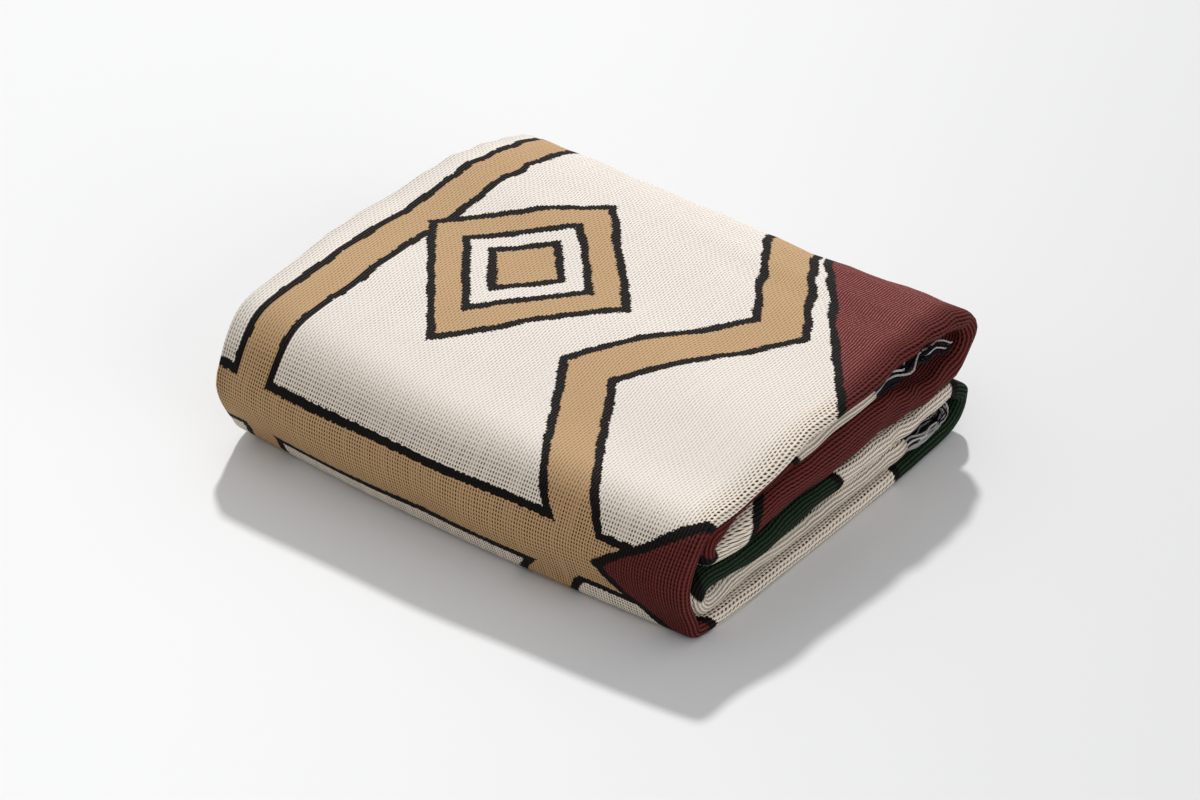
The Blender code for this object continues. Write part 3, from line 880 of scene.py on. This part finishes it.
def woven_cotton(cloth):
    """Ribs along the cloth with slots between them, and the pattern in steps of the weave."""
    material, shader, sums = new_finish("woven cotton", roughness=0.75, specular=0.09)
    flat = sums.uv("Flat cloth")
    ribs, slots, _ = sums.split(sums.uv("Thread count"))
    opened_and_shaded, square, pitch = (sums.attribute(name) for name in ("opened_and_shaded", "square", "pitch"))

    # Ribs wander a little where the cloth is drawn round an edge
    wander = sums("MULTIPLY_ADD", sums.noise(flat, "ribs"), 2 * RIB_WANDER, -RIB_WANDER)
    ribs = sums("MULTIPLY_ADD", wander, sums("SUBTRACT", opened_and_shaded, square), ribs)
    groove, slot = weave_slots(sums, ribs, slots, opened_and_shaded, square)
    across, along = stepped_place(sums, cloth, flat, ribs, slots, pitch)
    colour = pattern(sums, across, along, cloth)
    colour = yarn_colour(sums, cloth, colour, flat, groove, slot, opened_and_shaded)
    sums.tree.links.new(colour, shader.inputs["Base Color"])

    stitch = sums("MULTIPLY", sums("COSINE", sums("MULTIPLY", slots, 2 * math.tau)), STITCH_HIGH)
    crown = sums("SUBTRACT", 1.0, sums("MULTIPLY", groove, groove))
    fuzz = sums("MULTIPLY", sums.noise(flat, "fuzz"), FUZZ_HIGH)
    high = sums("ADD", crown, sums("MULTIPLY", slot, SLOT_DEEP))
    high = sums("ADD", high, sums("ADD", stitch, fuzz))
    high = sums("MULTIPLY", high, sums("MULTIPLY_ADD", opened_and_shaded, 1 - FLAT_BUMP, FLAT_BUMP))
    normal = sums.bump(high, cloth.rib_height, BUMP_STRENGTH)
    sums.tree.links.new(normal, shader.inputs["Normal"])
    return material


def twisted_yarn(fringe):
    """Dark or pale yarn, by the strand, with its twist as a bump and as painted shade between its turns."""
    material, shader, sums = new_finish("twisted yarn", roughness=0.70, specular=0.12)
    pale, tone, length, around = (sums.attribute(name) for name in ("pale", "tone", "length", "round"))
    turns = sums("ADD", sums("DIVIDE", length, fringe.twist), around)
    twist = sums("ABSOLUTE", sums("SINE", sums("MULTIPLY", turns, math.tau)))
    colour = sums.mix(pale, (*fringe.dark, 1.0), (*fringe.pale, 1.0))
    # Painted shade between the yarn's twisted turns, times the strand's own tone
    twisted, toned = sums("MULTIPLY_ADD", twist, *TWIST_SHADE), sums("MULTIPLY_ADD", tone, *TONE_SHADE)
    shade = sums.grey(sums("MULTIPLY", twisted, toned))
    sums.tree.links.new(sums.mix(1.0, colour, shade, "MULTIPLY"), shader.inputs["Base Color"])
    sums.tree.links.new(sums.bump(twist, YARN_BUMP, 1.0), shader.inputs["Normal"])
    return material


def strand_lines(path, root, tip, thickness, strands_a_run, middle):
    """The strands' middle lines at one end: a row of points along each strand, with its root first."""
    shares = (np.arange(strands_a_run) + 0.5) / strands_a_run
    plies = spiral(shares, *STRAND_EDGE_STEPS)
    start = root + math.copysign(SEAM_GAP, tip - root)
    s = np.concatenate([[start], path.stops(root, tip, STRAND_TURN, STRAND_STEP)[1:]])
    points = creased(settled(placed(path, plies, s, thickness))) + middle
    return points.transpose(1, 0, 2), np.abs(s - root)


def line_mesh(name, lines, lengths):
    """A mesh of bare edges along the strands, which knows each point's length and strand."""
    strands, count = lines.shape[:2]
    first = np.arange(strands * count).reshape(strands, count)
    edges = np.stack([first[:, :-1], first[:, 1:]], axis=-1).reshape(-1, 2)
    mesh = bpy.data.meshes.new(name)
    mesh.from_pydata(lines.reshape(-1, 3).tolist(), edges.tolist(), [])
    length = mesh.attributes.new("length", "FLOAT", "POINT")
    length.data.foreach_set("value", np.tile(lengths, strands).astype(np.float32))
    number = mesh.attributes.new("strand", "INT", "POINT")
    number.data.foreach_set("value", np.repeat(np.arange(strands), count).astype(np.int32))
    return mesh


def strand_tree():
    """Geometry nodes that lay a swaying round strand along each line of edges."""
    tree = bpy.data.node_groups.new("fringe strands", "GeometryNodeTree")
    for name, kind in STRAND_INPUTS:
        tree.interface.new_socket(name, in_out="INPUT", socket_type=kind)
    tree.interface.new_socket("Geometry", in_out="OUTPUT", socket_type="NodeSocketGeometry")
    sums = Sums(tree)
    add = sums.add

    def stored(name, value, geometry):
        inputs = {"Geometry": geometry, "Name": name, "Value": value}
        return add("GeometryNodeStoreNamedAttribute", inputs, data_type="FLOAT", domain="POINT")

    given = tree.nodes.new("NodeGroupInput").outputs
    length = add("GeometryNodeInputNamedAttribute", {"Name": "length"}, "Attribute", data_type="FLOAT")
    strand = add("GeometryNodeInputNamedAttribute", {"Name": "strand"}, "Attribute", data_type="INT")
    share = sums("DIVIDE", length, given["Fringe length"])

    # Each strand sways by its own part of a noise, more and more over its first half
    own = sums.vector("ADD", sums.vector("MULTIPLY", strand, STRANDS_APART), given["Seed"])
    place = sums.vector("MULTIPLY_ADD", add("GeometryNodeInputPosition", {}), SWAY_WAVES, own)
    noise = add("ShaderNodeTexNoise", {"Vector": place, "Scale": 1.0, "Detail": 1.0}, "Color")
    sway = sums.vector("MULTIPLY", sums.vector("SUBTRACT", noise, (0.5, 0.5, 0.5)), SWAY_SHARES)
    reach = sums("MULTIPLY", given["Sway"], sums("MINIMUM", sums("MULTIPLY", share, 2.0), 1.0))
    offset = sums.vector("MULTIPLY", sway, reach)
    lines = add("GeometryNodeSetPosition", {"Geometry": given["Geometry"], "Offset": offset})

    # Chance settles which strands are pale, and each strand's tone
    chance = add("FunctionNodeRandomValue", {"ID": strand, "Seed": given["Seed"]}, 1, data_type="FLOAT")
    lines = stored("pale", sums("LESS_THAN", chance, given["Pale share"]), lines)
    other_seed = sums("ADD", given["Seed"], TONE_SEED)
    tone = add("FunctionNodeRandomValue", {"ID": strand, "Seed": other_seed}, 1, data_type="FLOAT")
    lines = add("GeometryNodeMeshToCurve", {"Mesh": stored("tone", tone, lines)})

    round_inputs = {"Resolution": STRAND_SIDES, "Radius": given["Strand radius"]}
    profile = add("GeometryNodeCurvePrimitiveCircle", round_inputs, "Curve")
    profile = stored("round", add("GeometryNodeSplineParameter", {}, "Factor"), profile)
    slim = sums("SUBTRACT", 1.0, sums("MULTIPLY", share, TIP_LOSS))
    tube_inputs = {"Curve": lines, "Profile Curve": profile, "Scale": slim, "Fill Caps": True}
    tube = add("GeometryNodeCurveToMesh", tube_inputs)
    smooth = add("GeometryNodeSetShadeSmooth", {"Geometry": tube})
    real = add("GeometryNodeRealizeInstances", {"Geometry": smooth})
    strands = add("GeometryNodeSetMaterial", {"Geometry": real, "Material": given["Material"]})
    tree.links.new(strands, tree.nodes.new("NodeGroupOutput").inputs[0])
    return tree


def set_inputs(modifier, values):
    """Sets a Geometry Nodes modifier's inputs by their sockets' identifiers."""
    for item in modifier.node_group.interface.items_tree:
        if item.item_type == "SOCKET" and item.in_out == "INPUT" and item.name in values:
            modifier[item.identifier] = values[item.name]


def raw_to_frame(points):
    """The shift from the rows' own place to the solids' place, for the cloth's raw points."""
    middle = (points.min(axis=(0, 1)) + points.max(axis=(0, 1))) / 2
    target = (np.array(CLOTH_LOW) + np.array(CLOTH_HIGH)) / 2
    return np.array([target[0] - middle[0], target[1] - middle[1], 0.0])


def cloth_grid(thickness):
    """The path, the stops across, the lengths along and the settled points of the whole cloth."""
    path = Path()
    plies = spiral(np.linspace(0, 1, RUN_STOPS), *EDGE_STEPS)
    s = path.stops(path.cloth_start, path.cloth_end, CLOTH_TURN, CLOTH_STEP)
    return path, plies, s, settled(placed(path, plies, s, thickness))


class BLANKET_OT_cloth(bpy.types.Operator):
    """Make the woven cloth with all its folds"""

    bl_idname = "blanket.cloth"
    bl_label = "Woven cloth"

    def execute(self, context):
        cloth = context.scene.blanket_cloth
        _, plies, s, raw = cloth_grid(cloth.thickness)
        points = creased(raw) + raw_to_frame(raw)
        mesh = sheet_mesh("woven_cloth", points)
        counts = weave_counts(cloth, plies, s - s[0], raw)
        length = np.broadcast_to((s - s[0])[:, None], counts["ribs"].shape)
        lay_uv(mesh, "Flat cloth", counts["ribs"] * cloth.rib_pitch, length)
        lay_uv(mesh, "Thread count", counts["ribs"], counts["slots"])
        for name in ("opened_and_shaded", "square", "pitch"):
            layer = mesh.attributes.new(name, "FLOAT", "POINT")
            layer.data.foreach_set("value", counts[name].astype(np.float32).ravel())
        piece = new_object(context, "woven_cloth", mesh)
        mesh.materials.append(woven_cotton(cloth))
        solidify = piece.modifiers.new("Thickness", "SOLIDIFY")
        solidify.thickness = cloth.thickness
        solidify.offset = 0.0
        finished(piece)
        for vertex in piece.data.vertices:
            vertex.co.z = max(vertex.co.z, 0.0)
        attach(piece, "root")
        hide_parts("cloth")
        return {"FINISHED"}


class BLANKET_OT_fringes(bpy.types.Operator):
    """Make the strands of both fringes"""

    bl_idname = "blanket.fringes"
    bl_label = "Fringes"

    def execute(self, context):
        fringe = context.scene.blanket_fringe
        thickness = context.scene.blanket_cloth.thickness
        path, _, _, raw = cloth_grid(thickness)
        middle = raw_to_frame(raw)
        tree, yarn = strand_tree(), twisted_yarn(fringe)
        ends = (
            ("lower", path.cloth_start, path.knots[0], fringe.pale_below, fringe.sway_below, "pale_fringe"),
            ("upper", path.cloth_end, path.knots[-1], fringe.pale_above, fringe.sway_above, "dark_fringe"),
        )
        for number, (place, root, tip, pale_share, sway, slot) in enumerate(ends):
            name = f"strands_{place}"
            lines, lengths = strand_lines(path, root, tip, thickness, fringe.strands_a_run, middle)
            piece = new_object(context, name, line_mesh(name, lines, lengths))
            nodes = piece.modifiers.new("Strands", "NODES")
            nodes.node_group = tree
            inputs = {
                "Strand radius": fringe.strand_radius,
                "Sway": sway,
                "Fringe length": float(lengths[-1]),
                "Pale share": pale_share,
                "Seed": fringe.seed + number,
                "Material": yarn,
            }
            set_inputs(nodes, inputs)
            finished(piece)
            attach(piece, "root")
            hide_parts(f"fringe_{place}")
        return {"FINISHED"}


class BLANKET_OT_stage(bpy.types.Operator):
    """Make the floor, the light and the camera"""

    bl_idname = "blanket.stage"
    bl_label = "Stage"

    def execute(self, context):
        stage = context.scene.blanket_stage
        context.scene.view_settings.view_transform = "Standard"
        make_floor(context, stage)
        make_light(context, stage)
        make_camera(context, stage)
        return {"FINISHED"}


def make_floor(context, stage):
    """A plain pale floor, with painted shade that makes it a little darker towards the picture's right side
    and its front.
    """
    half = stage.floor_size / 2
    corners = [(-half, -half, 0), (half, -half, 0), (half, half, 0), (-half, half, 0)]
    mesh = bpy.data.meshes.new("floor")
    mesh.from_pydata(corners, [], [(0, 1, 2, 3)])
    floor = new_object(context, "floor", mesh)
    floor.location.z = -FLOOR_DROP
    material, shader, sums = new_finish("plain floor", roughness=0.9, specular=0.1)
    place = sums.tree.nodes.new("ShaderNodeTexCoord").outputs["Object"]
    east, north, _ = sums.split(place)
    cosine, sine = math.cos(stage.camera_turn), math.sin(stage.camera_turn)
    aside = sums("MULTIPLY", east, cosine + FLOOR_SHADE_LEAN * sine)
    aside = sums("MULTIPLY_ADD", north, sine - FLOOR_SHADE_LEAN * cosine, aside)
    share = sums.ramp(aside, *FLOOR_SHADE_RANGE)
    share = sums("MULTIPLY_ADD", sums.noise(place, "floor"), FLOOR_GRAIN, share)
    # Painted shade: the floor darkens towards the right and the front, where the light falls off
    colour = sums.mix(share, (*stage.floor, 1.0), (*stage.floor_right_in_shade, 1.0))
    sums.tree.links.new(colour, shader.inputs["Base Color"])
    mesh.materials.append(material)


def make_light(context, stage):
    """A light from behind the blanket, a soft one from its right, and pale light all round."""
    behind = stage.camera_turn + math.pi
    lights = (
        ("light from behind", stage.sun, stage.sun_spread, behind, stage.sun_height),
        ("fill from the right", stage.fill, stage.fill_spread, stage.fill_turn, stage.fill_height),
    )
    for name, strength, spread, turn, height in lights:
        light = bpy.data.lights.new(name, "SUN")
        light.energy = strength
        light.angle = spread
        lamp = new_object(context, name, light)
        flat = math.cos(height)
        source = Vector((math.sin(turn) * flat, -math.cos(turn) * flat, math.sin(height)))
        lamp.rotation_euler = (-source).to_track_quat("-Z", "Y").to_euler()
        lamp.location = LAMPS_AWAY * source
    world = bpy.data.worlds.new("pale light")
    world.use_nodes = True
    sky = world.node_tree.nodes["Background"]
    sky.inputs["Color"].default_value = SKY_COLOUR
    sums = Sums(world.node_tree)
    _, _, height = sums.split(world.node_tree.nodes.new("ShaderNodeTexCoord").outputs["Generated"])
    strength = sums("MULTIPLY_ADD", sums("MAXIMUM", height, 0.0), stage.overhead, stage.sky)
    world.node_tree.links.new(strength, sky.inputs["Strength"])
    context.scene.world = world


def make_camera(context, stage):
    """The camera at the photograph's angle."""
    data = bpy.data.cameras.new("camera")
    data.lens = stage.lens
    data.clip_end = 50.0
    camera = new_object(context, "camera", data)
    turn, rise = stage.camera_turn, stage.camera_rise
    back = Vector((math.sin(turn) * math.cos(rise), -math.cos(turn) * math.cos(rise), math.sin(rise)))
    camera.location = Vector(stage.camera_aim) + back * stage.camera_distance
    camera.rotation_euler = (math.pi / 2 - rise, 0.0, turn)
    context.scene.camera = camera


class BLANKET_PT_panel(bpy.types.Panel):
    """The blanket's pieces and settings"""

    bl_label = "Folded woven blanket"
    bl_idname = "BLANKET_PT_panel"
    bl_space_type = "VIEW_3D"
    bl_region_type = "UI"
    bl_category = "Blanket"

    def draw(self, context):
        parts = (
            ("blanket.cloth", context.scene.blanket_cloth),
            ("blanket.fringes", context.scene.blanket_fringe),
            ("blanket.stage", context.scene.blanket_stage),
        )
        for operator, settings in parts:
            box = self.layout.box()
            for name in settings.__annotations__:
                box.prop(settings, name)
            box.operator(operator)


GROUPS = {
    "blanket_cloth": ClothSettings,
    "blanket_fringe": FringeSettings,
    "blanket_stage": StageSettings,
}
CLASSES = (BLANKET_OT_cloth, BLANKET_OT_fringes, BLANKET_OT_stage, BLANKET_PT_panel)


def register():
    for name, group in GROUPS.items():
        bpy.utils.register_class(group)
        setattr(bpy.types.Scene, name, bpy.props.PointerProperty(type=group))
    for found in CLASSES:
        bpy.utils.register_class(found)


def unregister():
    for found in reversed(CLASSES):
        bpy.utils.unregister_class(found)
    for name, group in GROUPS.items():
        delattr(bpy.types.Scene, name)
        bpy.utils.unregister_class(group)


def main():
    register()
    bpy.ops.blanket.cloth()
    bpy.ops.blanket.fringes()
    bpy.ops.blanket.stage()


if __name__ == "__main__":
    main()
